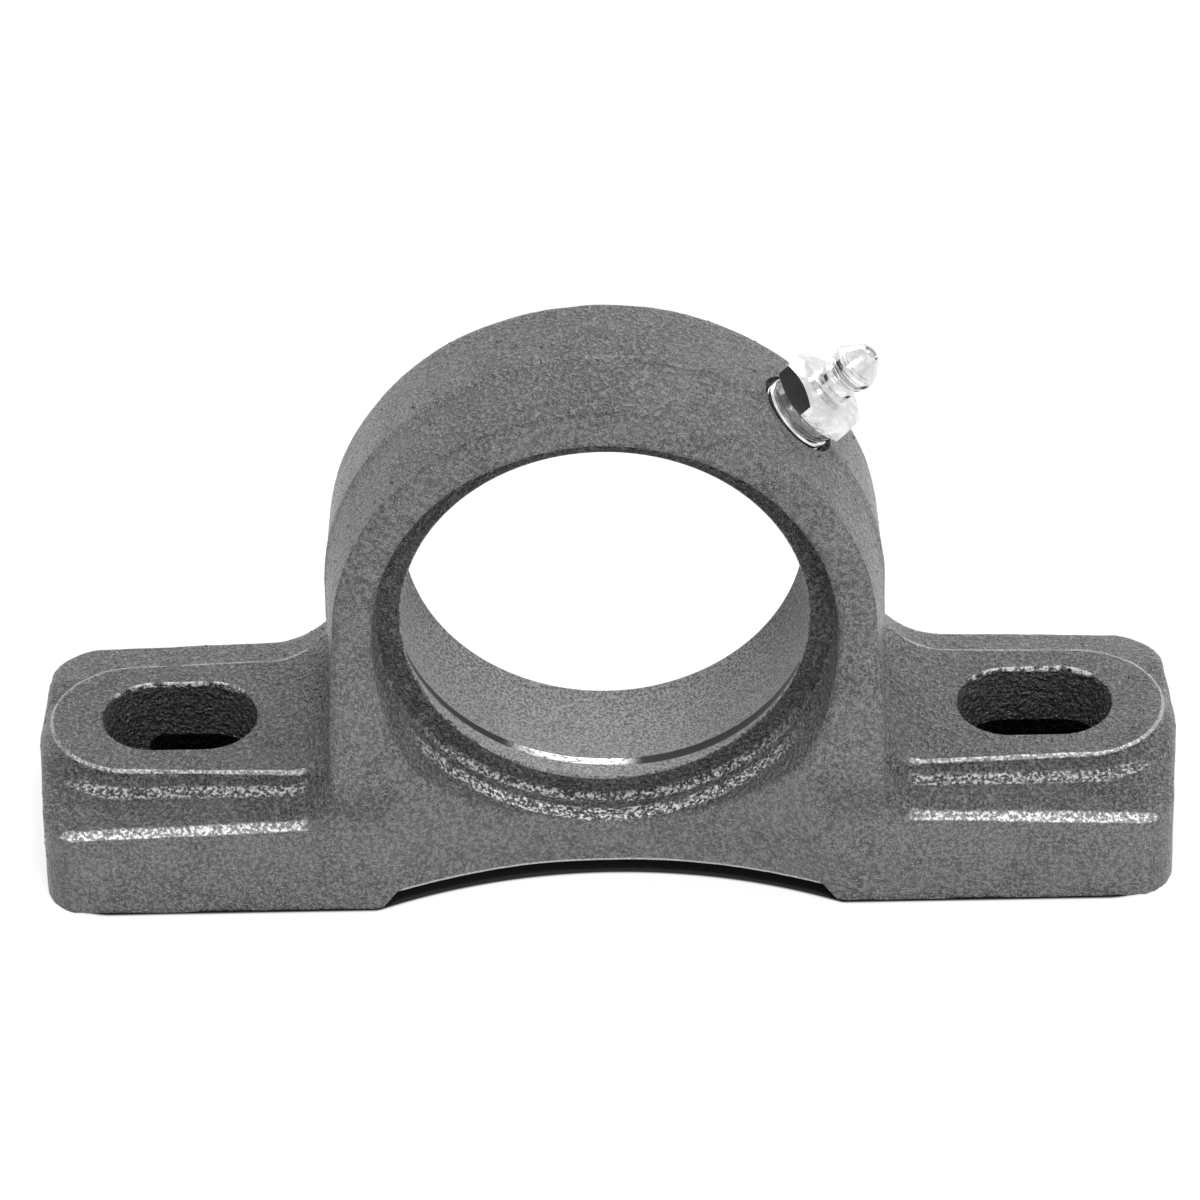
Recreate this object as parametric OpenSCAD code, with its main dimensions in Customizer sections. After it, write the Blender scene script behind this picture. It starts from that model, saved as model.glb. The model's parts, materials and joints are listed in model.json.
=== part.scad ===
// Cast-iron pillow block housing with a spherical seat for an insert bearing,
// two slotted feet and a taper-threaded grease fitting with a sprung check ball.
// X runs along the base, Y along the shaft and Z up.
// The origin is the centre of the base's underside.

/* [Base] */
// Length of the base, end to end at the parting plane
base_len = 140; // [137:0.5:148]
// Depth of the base, front to back
base_depth = 38; // [36:0.5:42]
// Corner radius of the base, seen from above
corner_r = 5; // [2:0.5:6]
// Height of a foot at its front and rear edge, beside the ring
foot_edge_h = 13.7; // [11:0.1:14.2]
// Height of a foot beside its bolt boss and the ring
foot_h = 14.9; // [14.2:0.1:15.3]
// Slope of the feet's upper faces down to their ends, in degrees
foot_slope = 2.1; // [0.5:0.1:3]
// Radius along the upper edges of the feet
foot_round = 1.2; // [0.4:0.1:2]
// Depth of the base at mid length, where both faces are drawn in
waist_depth = 26; // [25.5:0.25:30]
// Length of the drawn-in stretch
waist_len = 54; // [46:1:60]
// Height of the relief under the base
relief_h = 2.4; // [1:0.1:3.5]
// Length of the relief at the underside
relief_len = 56; // [40:1:62]
// Length of each sloped end of the relief
relief_slope = 2; // [0.5:0.25:4]

/* [Bolt slots] */
// Distance between the two bolt centres
bolt_spacing = 105; // [102:0.5:108]
// Width of each slot
slot_w = 13; // [10:0.25:14]
// Length of each slot, end to end
slot_len = 19; // [15:0.25:21]
// Height of the raised bolt bosses above the underside
boss_h = 16; // [15.5:0.1:18]
// Width of a boss
boss_w = 21; // [19:0.25:23]
// Distance from the middle of the base to the centre of a boss's round end
boss_end_x = 58; // [55:0.25:58.5]

/* [Pockets under the feet] */
// Height of each cored pocket
pocket_h = 7.9; // [4:0.1:9]
// Wall in front of and behind a pocket
pocket_wall = 5; // [3:0.25:8]
// Wall at the outer end of the left pocket
left_end_wall = 13; // [6:0.5:16]
// Wall at the outer end of the right pocket
right_end_wall = 7; // [5:0.5:16]
// Length of the solid pad between the relief and a pocket
pad_len = 13; // [8:0.5:16]
// Corner radius of a pocket, seen from above
pocket_r = 4; // [1:0.5:6]

/* [Ring] */
// Height of the bore axis above the underside
axis_h = 36.5; // [36:0.1:40]
// Outer radius of the ring at its parting plane
ring_r = 34; // [33:0.25:36]
// Distance from the middle plane to the ring's front face
ring_front = 12.5; // [11.5:0.25:14]
// Distance from the middle plane to the ring's rear face
ring_back = 11; // [10.75:0.25:14]
// Distance that the parting plane lies in front of the middle plane
parting = 1.4; // [0:0.1:2]
// Draft of the ring's outer surface and its flanks in front of the parting plane, in degrees
front_draft = 5.9; // [1:0.1:7]
// Draft of the ring's outer surface and its flanks behind the parting plane, in degrees
rear_draft = 1.9; // [1:0.1:7]
// Chamfer along the ring's outer edges
ring_edge = 1.1; // [0.4:0.1:2]
// Draft of the base's ends, in degrees from the middle plane
draft = 3.7; // [1:0.1:5]
// Height at which the front and rear faces start to slope in
shoulder_h = 15.5; // [14.5:0.25:20]
// Radius of the fillets between the ring's flanks and the feet
flank_fillet = 5; // [2:0.25:7]

/* [Bearing seat] */
// Radius of the spherical seat
seat_r = 26; // [25.5:0.05:26.4]
// Width of the seat along the shaft, with its chamfers
seat_w = 17.3; // [16:0.1:18.5]
// Width of the chamfer at each edge of the seat
seat_chamfer = 0.4; // [0.1:0.1:0.8]
// Radius of each side recess at the seat's edge face
recess_r = 27.5; // [26.8:0.1:28.5]
// Draft of the recess wall, in degrees
recess_draft = 7.5; // [2:0.5:12]
// Chamfer around the mouth of each recess
recess_edge = 0.7; // [0.2:0.1:1]

/* [Grease fitting] */
// Angle of the fitting above the horizontal, seen from the front
fitting_angle = 45; // [35:1:60]
// Turn of the screwed-in fitting about its own axis, from a hexagon corner in the middle plane
fitting_turn = 4.6; // [2:0.2:58]
// Depth of the spot face below the ring's outer surface
spot_depth = 1.3; // [1:0.1:1.8]
// Diameter of the spot face
spot_d = 13; // [11.5:0.25:15]
// Outside diameter of the taper thread
thread_d = 9.7; // [9:0.1:10.2]
// Pitch of the thread
thread_pitch = 0.907; // [0.7:0.01:1]
// Height of one thread
thread_depth = 0.45; // [0.2:0.05:0.55]
// Length of the threaded shank inside the ring
shank_len = 5; // [4:0.1:5.2]
// Height of the hexagon's lower corners above the spot face
hex_base = 3.5; // [3:0.1:4.5]
// Width of the hexagon across its flats
hex_af = 10.6; // [10:0.1:11.5]
// Height of the hexagon
hex_h = 2.8; // [2:0.1:4]
// Diameter of the neck above the hexagon
neck_d = 5; // [4.6:0.1:5.4]
// Length of the neck
neck_len = 2; // [1.2:0.1:3]
// Diameter of the coupling head
head_d = 6; // [5.8:0.1:6.7]
// Length of the coupling head
head_len = 4.8; // [4:0.1:6]
// Diameter of the flat tip
tip_d = 2.8; // [2.6:0.1:3.2]

/* [Check valve] */
// Diameter of the check ball
ball_d = 2.4; // [2:0.1:2.6]
// Clearance around the ball in the bore of the fitting
ball_gap = 0.1; // [0.05:0.01:0.15]
// Diameter of the opening at the tip
orifice_d = 1.9; // [1.4:0.1:1.9]
// Wire diameter of the check spring
wire_d = 0.32; // [0.2:0.02:0.4]
// Number of turns of the check spring
spring_turns = 11; // [6:1:13]
// Length of the staked lip that holds the spring
stake_len = 0.6; // [0.3:0.1:1]

/* [Fit] */
// Gap between mating pieces
fit_gap = 0.03; // [0.01:0.01:0.05]

/* [Hidden] */
$fn = 96;
// Overshoot of a cut past the face that it opens
over = 1;
iron = [0.25, 0.25, 0.26];
zinc = [0.78, 0.78, 0.8];
steel = [0.62, 0.62, 0.65];

// Base
half_len = base_len / 2;
half_depth = base_depth / 2;
end_slope = tan(draft);
waist_in = (base_depth - waist_depth) / 2;
waist_r = (pow(waist_len / 2, 2) + pow(waist_in, 2)) / (2 * waist_in);
arc_steps = 8;
waist_facets = 240;
seat_facets = 192;

// Ring and seat
front_slope = tan(front_draft);
rear_slope = tan(rear_draft);
ring_low = min(0, axis_h - ring_r) - over;
front_r = ring_r - front_slope * (ring_front - parting);
rear_r = ring_r - rear_slope * (ring_back + parting);
half_seat = seat_w / 2;
mouth_r = sqrt(pow(seat_r, 2) - pow(half_seat - seat_chamfer, 2));
recess_reach = half_depth + over - half_seat;
recess_slope = tan(recess_draft);

// Fitting, measured outwards along its own axis from the spot face
spot_r = ring_r - spot_depth;
tap_r = thread_d / 2 + fit_gap;
tap_spare = 0.3;
tap_depth = shank_len + tap_spare;
passage_r = 2.5;
spot_cut_h = 4;
hex_r = hex_af / sqrt(3);
hex_top = hex_base + hex_h;
hex_rim = 0.2;
hex_chamfer = hex_r - hex_af / 2 + hex_rim;
collar_step = 0.25;
collar_r = thread_d / 2 - collar_step;
thread_top = 1.5;
thread_land = 0.2;
neck_top = hex_top + neck_len;
head_top = neck_top + head_len;
rim_w = 0.35;
rim_groove = 0.3;
waist_groove = 0.4;
waist_groove_r = neck_d / 2 - waist_groove;
tip_taper = 0.6;
head_taper_top = head_top - tip_taper;
bore_r = ball_d / 2 + ball_gap;
seat_depth = 0.4;
seat_rise = bore_r - orifice_d / 2;
valve_seat = head_top - seat_depth;
ball_at = valve_seat - sqrt(pow(ball_d / 2 + fit_gap, 2) - pow(orifice_d / 2, 2));
spring_r = bore_r - ball_gap - wire_d / 2;
stake_top = stake_len - shank_len;
spring_low = stake_top + wire_d / 2 + fit_gap;
ball_contact = sqrt(pow((ball_d + wire_d) / 2 + fit_gap, 2) - pow(spring_r, 2));
spring_high = ball_at - ball_contact;
stake_hole_r = spring_r - wire_d / 2;
wire_sides = 8;
turn_steps = 16;

// Points of an arc about c, from angle a to angle b
function arc(c, r, a, b, n = arc_steps) =
    [for (i = [0:n]) let (t = a + (b - a) * i / n) c + r * [cos(t), sin(t)]];

// The four mirror images of one quarter of an outline, in order round it
function all_quarters(q) = concat(
    q,
    [for (i = [len(q) - 1:-1:0]) [-q[i][0], q[i][1]]],
    [for (p = q) [-p[0], -p[1]]],
    [for (i = [len(q) - 1:-1:0]) [q[i][0], -q[i][1]]]
);

// Base seen from above, with drafted ends and round corners
module base_outline() {
    end_x = half_len - end_slope * half_depth;
    corner = arc([end_x - corner_r, half_depth - corner_r], corner_r, 0, 90);
    polygon(all_quarters(concat([[half_len, 0]], corner)));
}

// Foot seen from its end, sloping down from the bosses to round upper edges
module foot_section() {
    side = arc([half_depth - foot_round, foot_edge_h - foot_round], foot_round, 90, 0);
    top = concat([[0, foot_h]], [[boss_w / 2, foot_h]], side, [[half_depth, -foot_h]]);
    polygon(concat(top, [for (i = [len(top) - 1:-1:0]) [-top[i][0], top[i][1]]]));
}

// Pedestal seen from its end, drawn in from the shoulder up to the ring's width
module pedestal_section() {
    polygon([
        [-half_depth, 0], [half_depth, 0], [half_depth, shoulder_h],
        [ring_back, axis_h], [-ring_front, axis_h], [-half_depth, shoulder_h]
    ]);
}

// Turns a section drawn in Y and Z into a bar along X
module along_x(length) {
    rotate([90, 0, 90]) linear_extrude(length, center = true) children();
}

// Turns a shape drawn in X and Z into a bar along Y
module along_y(length) {
    rotate([90, 0, 0]) linear_extrude(length, center = true) children();
}

// Both feet and the stretch between them, each foot sloping down from the ring to its end
module feet() {
    intersection() {
        linear_extrude(foot_h + over) base_outline();
        for (s = [0, 1]) mirror([s, 0, 0]) translate([ring_r, 0, foot_h]) rotate([0, foot_slope, 0]) {
            translate([base_len / 2 - ring_r - over, 0, -foot_h]) along_x(base_len) foot_section();
        }
    }
}

// Raised flat round one slot, running in to the ring's flank
module boss() {
    linear_extrude(boss_h) {
        translate([boss_end_x, 0]) circle(d = boss_w);
        translate([ring_r - over, -boss_w / 2]) square([boss_end_x - ring_r + over, boss_w]);
    }
}

module slot() {
    reach = (slot_len - slot_w) / 2;
    translate([bolt_spacing / 2, 0, -over]) linear_extrude(boss_h + 2 * over) {
        for (x = [-reach, reach]) translate([x, 0]) circle(d = slot_w);
        square([2 * reach, slot_w], center = true);
    }
}

// Flanks of the pedestal seen from above, drafted from the parting plane
module pedestal_outline() {
    front_x = ring_r - front_slope * (half_depth - parting);
    rear_x = ring_r - rear_slope * (half_depth + parting);
    polygon([
        [-front_x, -half_depth], [front_x, -half_depth], [ring_r, -parting],
        [rear_x, half_depth], [-rear_x, half_depth], [-ring_r, -parting]
    ]);
}

// Concave fillet between one flank of the pedestal and its foot
module flank_fillet_bar() {
    along_y(base_depth) difference() {
        translate([ring_r - 2 * over, foot_h - 2 * over]) {
            square([flank_fillet + 2 * over, flank_fillet + 2 * over]);
        }
        translate([ring_r + flank_fillet, foot_h + flank_fillet]) circle(flank_fillet);
    }
}

module pedestal() {
    intersection() {
        union() {
            linear_extrude(axis_h) pedestal_outline();
            for (s = [0, 1]) mirror([s, 0, 0]) flank_fillet_bar();
        }
        along_x(base_len) pedestal_section();
    }
}

// Hollows that draw the front and rear faces in at mid length
module waist_cuts() {
    for (s = [-1, 1]) {
        translate([0, s * (waist_depth / 2 + waist_r), -over]) {
            cylinder(h = axis_h + over, r = waist_r, $fn = waist_facets);
        }
    }
}

// Ring turned about the shaft's axis, from a half section of radius against distance forwards
module ring_disc() {
    translate([0, 0, axis_h]) rotate([90, 0, 0]) rotate_extrude() polygon([
        [0, -ring_back], [rear_r - ring_edge, -ring_back], [rear_r, ring_edge - ring_back],
        [ring_r, parting], [front_r, ring_front - ring_edge], [front_r - ring_edge, ring_front],
        [0, ring_front]
    ]);
}

// Recess in front of the seat, with the chamfer round its mouth in a face at the given distance
module recess(face) {
    far_r = recess_r + recess_slope * recess_reach;
    edge_r = recess_r + recess_slope * (face - half_seat);
    translate([0, 0, axis_h]) rotate([90, 0, 0]) {
        translate([0, 0, half_seat]) cylinder(h = recess_reach, r1 = recess_r, r2 = far_r);
        translate([0, 0, face - recess_edge]) {
            cylinder(h = recess_edge, r1 = edge_r, r2 = edge_r + recess_edge);
        }
    }
}

module seat_cut() {
    flat = half_seat - seat_chamfer;
    translate([0, 0, axis_h]) rotate([90, 0, 0]) {
        intersection() {
            sphere(seat_r, $fn = seat_facets);
            cylinder(h = 2 * flat, r = seat_r + over, center = true);
        }
        for (s = [0, 1]) mirror([0, 0, s]) translate([0, 0, flat]) {
            cylinder(h = seat_chamfer, r1 = mouth_r, r2 = mouth_r + seat_chamfer);
        }
    }
}

module relief() {
    low = relief_len / 2;
    along_y(base_depth + 2 * over) polygon([
        [-low, ring_low], [low, ring_low], [low, 0], [low - relief_slope, relief_h],
        [relief_slope - low, relief_h], [-low, 0]
    ]);
}

// Cored pocket under the right foot, with the given wall at its outer end
module pocket(end_wall) {
    inner = relief_len / 2 + pad_len + pocket_r;
    outer = half_len - end_wall - pocket_r;
    side = half_depth - pocket_wall - pocket_r;
    translate([0, 0, -over]) linear_extrude(pocket_h + over) {
        for (x = [inner, outer], y = [-side, side]) translate([x, y]) circle(pocket_r);
        translate([inner, -side - pocket_r]) square([outer - inner, 2 * (side + pocket_r)]);
        translate([inner - pocket_r, -side]) square([outer - inner + 2 * pocket_r, 2 * side]);
    }
}

// Puts a piece on the fitting's axis, with its zero on the spot face
module on_fitting_axis() {
    translate([0, 0, axis_h]) rotate([0, 90 - fitting_angle, 0]) translate([0, 0, spot_r]) {
        rotate(fitting_turn) children();
    }
}

// Spot face, tapped hole and grease passage for the fitting
module fitting_hole() {
    on_fitting_axis() {
        cylinder(h = spot_cut_h, d = spot_d);
        translate([0, 0, -tap_depth]) cylinder(h = tap_depth + over, r = tap_r);
        translate([0, 0, seat_r - spot_r - over]) cylinder(h = spot_r - seat_r, r = passage_r);
    }
}

module housing() {
    color(iron) difference() {
        union() {
            difference() {
                union() {
                    feet();
                    pedestal();
                }
                waist_cuts();
            }
            for (s = [0, 1]) mirror([s, 0, 0]) boss();
            ring_disc();
        }
        for (s = [0, 1]) mirror([s, 0, 0]) slot();
        recess(ring_front);
        mirror([0, 1, 0]) recess(ring_back);
        seat_cut();
        relief();
        pocket(right_end_wall);
        mirror([1, 0, 0]) pocket(left_end_wall);
        fitting_hole();
    }
}

// Half section of the fitting below the hexagon: shank with thread rings and collar
module shank() {
    crest = thread_d / 2;
    root = crest - thread_depth;
    rings = floor((shank_len + thread_top) / thread_pitch);
    land = thread_pitch * thread_land / 2;
    rotate_extrude() polygon(concat(
        [[0, -shank_len], [root, -shank_len]],
        [for (i = [0:rings - 1]) let (z = i * thread_pitch - shank_len)
            each [[root, z + land], [crest, z + thread_pitch / 2], [root, z + thread_pitch - land]]],
        [[collar_r, thread_top], [collar_r, hex_base - hex_chamfer],
            [hex_r, hex_base], [0, hex_base]]
    ));
}

// Hexagon with turned corners
module hexagon() {
    intersection() {
        translate([0, 0, hex_base]) cylinder(h = hex_h, r = hex_r, $fn = 6);
        rotate_extrude() polygon([
            [0, hex_base - over], [hex_r + over, hex_base - over],
            [hex_r + over, hex_top - hex_chamfer], [hex_r, hex_top - hex_chamfer],
            [hex_r - 2 * hex_chamfer, hex_top], [0, hex_top]
        ]);
    }
}

// Neck, waist and ribbed head that a grease coupler grips
module neck_and_head() {
    neck_r = neck_d / 2;
    rim_r = head_d / 2;
    low_rim = neck_top + rim_w;
    high_rim = low_rim + 2 * rim_w + rim_groove;
    rotate_extrude() polygon([
        [0, hex_top - over], [neck_r, hex_top - over], [neck_r, neck_top - rim_w],
        [waist_groove_r, neck_top], [rim_r - rim_w / 2, low_rim],
        [rim_r - rim_w / 2, low_rim + rim_w], [neck_r, low_rim + rim_w + rim_groove / 2],
        [rim_r, high_rim], [rim_r, high_rim + 2 * rim_w],
        [tip_d / 2 + 2 * rim_w, head_taper_top], [tip_d / 2, head_top], [0, head_top]
    ]);
}

// Bore of the fitting: staked inlet, spring chamber, ball seat and orifice
module valve_bore() {
    rotate_extrude() polygon([
        [0, -shank_len - over], [stake_hole_r, -shank_len - over], [stake_hole_r, stake_top],
        [bore_r, stake_top], [bore_r, valve_seat - seat_rise], [orifice_d / 2, valve_seat],
        [orifice_d / 2, head_top + over], [0, head_top + over]
    ]);
}

module grease_fitting_body() {
    color(zinc) on_fitting_axis() difference() {
        union() {
            shank();
            hexagon();
            neck_and_head();
        }
        valve_bore();
    }
}

module check_ball() {
    color(steel) on_fitting_axis() translate([0, 0, ball_at]) sphere(d = ball_d);
}

// Helical wire between the staked lip and the ball
module check_spring() {
    count = spring_turns * turn_steps;
    rise = (spring_high - spring_low) / count;
    points = [for (i = [0:count]) let (t = 360 * i / turn_steps) each
        [for (k = [0:wire_sides - 1]) let (a = 360 * k / wire_sides,
            r = spring_r + wire_d / 2 * cos(a))
            [r * cos(t), r * sin(t), spring_low + rise * i + wire_d / 2 * sin(a)]]];
    sides = [for (i = [0:count - 1]) for (k = [0:wire_sides - 1])
        let (a = i * wire_sides + k, b = i * wire_sides + (k + 1) % wire_sides)
        [a, a + wire_sides, b + wire_sides, b]];
    ends = [[for (k = [0:wire_sides - 1]) k],
        [for (k = [wire_sides - 1:-1:0]) count * wire_sides + k]];
    color(steel) on_fitting_axis() polyhedron(points, concat(sides, ends));
}

housing();
grease_fitting_body();
check_ball();
check_spring();
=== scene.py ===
"""Cast pillow block housing with its grease fitting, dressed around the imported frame."""
import json
import math

import bmesh
import bpy
import numpy as np
from mathutils import Matrix, Vector


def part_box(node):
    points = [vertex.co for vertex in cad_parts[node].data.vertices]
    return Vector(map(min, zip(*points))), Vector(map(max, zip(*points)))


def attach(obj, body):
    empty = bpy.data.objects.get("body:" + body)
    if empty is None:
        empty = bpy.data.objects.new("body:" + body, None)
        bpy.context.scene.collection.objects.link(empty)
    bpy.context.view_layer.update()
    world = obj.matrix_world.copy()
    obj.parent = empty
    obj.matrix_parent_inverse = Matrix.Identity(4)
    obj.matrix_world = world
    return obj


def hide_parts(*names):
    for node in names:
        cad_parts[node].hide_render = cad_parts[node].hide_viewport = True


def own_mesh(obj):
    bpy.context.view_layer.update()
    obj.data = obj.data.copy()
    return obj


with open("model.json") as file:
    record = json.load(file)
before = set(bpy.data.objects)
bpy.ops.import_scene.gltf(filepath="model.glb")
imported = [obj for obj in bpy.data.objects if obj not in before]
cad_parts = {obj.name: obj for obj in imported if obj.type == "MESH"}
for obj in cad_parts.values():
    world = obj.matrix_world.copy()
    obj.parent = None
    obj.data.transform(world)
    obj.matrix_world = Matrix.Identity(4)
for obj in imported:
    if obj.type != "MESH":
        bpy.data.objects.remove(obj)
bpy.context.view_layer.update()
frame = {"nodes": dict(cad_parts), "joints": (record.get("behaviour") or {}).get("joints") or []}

bl_info = {
    "name": "Pillow Block Housing",
    "version": (1, 0, 0),
    "blender": (4, 5, 0),
    "location": "3D View > Sidebar > Pillow Block",
    "description": "A cast pillow block housing with a sprung grease fitting and its studio",
    "category": "Object",
}

MM = 0.001
BLOCK = "block"
BALL_JOINT = "check_ball_lift"
HOUSING_LOW, HOUSING_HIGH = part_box("housing")
JOINT = next(joint for joint in frame["joints"] if joint["name"] == BALL_JOINT)


# Kinds of setting

def length(name, text, millimetres):
    return bpy.props.FloatProperty(
        name=name, description=text, default=millimetres * MM, unit="LENGTH", precision=5
    )


def point(name, text, millimetres):
    return bpy.props.FloatVectorProperty(
        name=name, description=text, default=[c * MM for c in millimetres], size=3, subtype="TRANSLATION"
    )


def angle(name, text, degrees):
    return bpy.props.FloatProperty(
        name=name, description=text, default=math.radians(degrees), subtype="ANGLE"
    )


def number(name, text, value, top=1.0):
    return bpy.props.FloatProperty(name=name, description=text, default=value, min=0, max=top)


def colour(name, text, value):
    return bpy.props.FloatVectorProperty(
        name=name, description=text, default=value, size=3, subtype="COLOR", min=0, max=1
    )


class CastingSettings(bpy.types.PropertyGroup):
    """Sizes of the cast housing."""

    base_len: length("Base length", "End to end of the base", (HOUSING_HIGH.x - HOUSING_LOW.x) / MM)
    base_depth: length("Base depth", "Front to back of the base", (HOUSING_HIGH.y - HOUSING_LOW.y) / MM)
    corner_r: length("Corner radius", "Corners of the base seen from above", 5)
    rear_corner_r: length("Rear corner radius", "Rear corners of the base seen from above", 7)
    foot_edge_h: length("Foot edge height", "Height of a foot at its front edge beside the ring", 13.7)
    foot_h: length("Foot height", "Height of a foot beside its boss and the ring", 14.9)
    foot_slope: angle("Foot slope", "Slope of the feet down to their ends", 2.1)
    rear_sag: length("Rear sag", "How much lower the right foot's rear edge lies", 0.6)
    edge_round: length("Edge radius", "Rounding of the cast outer edges", 1.1)
    waist_depth: length("Waist depth", "Depth of the base at mid length", 26)
    waist_len: length("Waist length", "Length of the drawn-in stretch", 54)
    relief_h: length("Relief height", "Height of the relief under the base", 2.4)
    relief_len: length("Relief length", "Length of the relief at the underside", 56)
    relief_slope: length("Relief slope", "Length of each sloped end of the relief", 2)
    boss_h: length("Boss height", "Height of the bolt bosses", 16)
    boss_w: length("Boss width", "Width of a bolt boss", 21)
    boss_end_x: length("Boss centre", "Middle of the base to a boss's round end", 58)
    boss_shift: length("Boss shift", "How far the bosses lie in front of the middle plane", 0.25)
    boss_taper: number("Boss taper", "Widening of a boss to each side towards the ring", 0.04)
    boss_edge: length("Boss edge", "Rounding of a boss's upper edge", 0.4)
    boss_fillet: length("Boss fillet", "Fillet at the foot of a boss's side", 1.5)
    boss_draft: angle("Boss draft", "Lean of a boss's side", 12)
    bolt_spacing: length("Bolt spacing", "Distance between the slots", 105)
    slot_w: length("Slot width", "Width of a bolt slot", 13)
    slot_len: length("Slot length", "Length of a bolt slot", 19)
    slot_edge: length("Slot edge", "Rounding of a slot's upper rim", 0.3)
    pocket_h: length("Pocket height", "Height of the cored pockets under the feet", 7.9)
    pocket_wall: length("Pocket wall", "Wall in front of and behind a pocket", 5)
    left_end_wall: length("Left end wall", "Wall at the left pocket's outer end", 13)
    right_end_wall: length("Right end wall", "Wall at the right pocket's outer end", 7)
    pad_len: length("Pad length", "Solid pad between relief and pocket", 13)
    pocket_r: length("Pocket radius", "Corner radius of a pocket", 4)
    axis_h: length("Centre height", "Height of the bore axis", 36.5)
    ring_r: length("Ring radius", "Outer radius at the parting plane", 34)
    ring_front: length("Ring front", "Middle plane to the ring's front face", 12.5)
    ring_back: length("Ring back", "Middle plane to the ring's rear face", 11)
    ring_back_round: length("Rear edge radius", "Rounding of the ring's rear edge", 2.3)
    parting: length("Parting", "How far the parting plane lies in front of the middle plane", 1.4)
    seam_h: length("Seam height", "Height of the fine ridge along the parting plane", 0.1)
    seam_w: length("Seam width", "Width of the ridge along the parting plane", 0.45)
    front_draft: angle("Front draft", "Draft of the ring's outside in front of the parting plane", 5.9)
    rear_draft: angle("Rear draft", "Draft of the ring's outside behind the parting plane", 1.9)
    draft_fade: length("Draft fade", "Drop below the axis over which the front draft fades", 8)
    end_draft: angle("End draft", "Draft of the base's ends", 3.7)
    shoulder_h: length("Shoulder height", "Height where the faces start to slope in", 15.5)
    shoulder_blend: length("Shoulder blend", "Softening of the line where the faces start to slope in", 3)
    face_blend: length("Face blend", "Softening of the line where the slope meets the ring's face", 2)
    waist_blend: length("Waist blend", "Softening of the ends of the drawn-in stretch", 1)
    under_edge: length("Lower edge", "Rounding of the underside's edges", 0.4)
    flank_fillet: length("Flank fillet", "Fillet between the ring's flanks and the feet", 5)
    rear_fillet: length("Rear flank fillet", "The same fillet at the rear edge", 8.4)
    seat_r: length("Seat radius", "Radius of the spherical seat", 26)
    seat_w: length("Seat width", "Width of the machined seat", 17.3)
    front_bevel: length("Front bevel", "Bevel at the seat's front edge", 0.3)
    rear_bevel: length("Rear bevel", "Bevel at the seat's rear edge", 0.12)
    lip_y: length("Lip", "Where the turned lip ends inside the seat", -5)
    lip_turn: number("Lip run-out", "How fast the lip narrows to the right", 0.11)
    band_y: length("Band", "Where the glossy band behind the lip ends", -3.4)
    band_turn: number("Band run-out", "How fast the band's rear edge moves forwards to the right", 0.07)
    recess_r: length("Recess radius", "Radius of a side recess at its floor", 27.5)
    recess_draft: angle("Recess draft", "Draft of the recess wall", 7.5)
    recess_edge: length("Recess edge", "Rounding of the recess's mouth", 0.7)
    cell: length("Mesh cell", "Cell size of the cast mesh", 0.6)
    unevenness: length("Unevenness", "Height of the sand mould's unevenness", 0.07)
    inset: length("Inset", "How far the smooth surface lies inside the full sizes", 0.14)


class FittingSettings(bpy.types.PropertyGroup):
    """Sizes of the grease fitting and its check valve, measured along its axis from the spot face."""

    tilt: angle("Tilt", "Angle of the fitting above the horizontal", 45)
    turn: angle("Turn", "Turn of the fitting about its own axis", 4.6)
    spot_r: length("Spot face distance", "Bore axis to the spot face", 32.7)
    spot_d: length("Spot face diameter", "Diameter of the spot face", 11)
    tap_r: length("Hole radius", "Radius of the tapped hole", 4.88)
    tap_depth: length("Hole depth", "Depth of the tapped hole", 5.3)
    passage_r: length("Passage radius", "Radius of the grease passage", 2.5)
    shank_len: length("Shank length", "Length of the shank inside the ring", 5)
    root_r: length("Root radius", "Radius of the thread's root", 4.38)
    crest_r: length("Crest radius", "Radius of the thread's crest", 4.85)
    pitch: length("Pitch", "Pitch of the taper thread", 0.907)
    ridge_r: length("Thread rounding", "Radius of the thread's round crest", 0.4)
    taper: length("Taper", "How much the thread's radius shrinks over its length", 0.18)
    thread_turns: number("Thread turns", "Number of turns of the thread", 5.85, 10)
    thread_end: length("Thread end", "Height where the thread runs out", 1.22)
    collar_r: length("Collar radius", "Radius of the collar above the thread", 4.6)
    collar_low: length("Collar start", "Height where the thread ends in the collar", 1.3)
    collar_top: length("Collar top", "Height where the collar widens to the hexagon", 2.64)
    hex_base: length("Hexagon base", "Height of the hexagon's lower corners", 3.6)
    hex_top: length("Hexagon top", "Height of the hexagon's upper face", 6.25)
    hex_af: length("Hexagon size", "Width across the flats", 10.6)
    hex_chamfer_w: length("Chamfer width", "Flats to the hexagon's upper face, seen from its end", 0.8)
    hex_chamfer_h: length("Chamfer height", "Height of the hexagon's upper chamfer", 1.1)
    neck_r: length("Neck radius", "Radius of the neck", 2.5)
    head_top: length("Head top", "Height of the tip", 13.1)
    bore_r: length("Bore radius", "Radius of the valve bore", 1.3)
    orifice_r: length("Orifice radius", "Radius of the opening at the tip", 0.95)
    valve_seat: length("Valve seat", "Height of the ball's seat", 12.7)
    stake_top: length("Stake", "Height of the staked lip's inner face", -4.4)
    stake_r: length("Stake radius", "Radius of the inlet hole", 0.88)
    wire_r: length("Wire radius", "Radius of the spring wire", 0.16)
    spring_r: length("Spring radius", "Radius of the spring's coils", 1.04)
    spring_low: length("Spring foot", "Height of the spring's lower end", -4.21)
    spring_high: length("Spring head", "Height of the spring's upper end", 11.0)
    spring_turns: number("Spring turns", "Number of turns of the spring", 11, 20)


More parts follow.
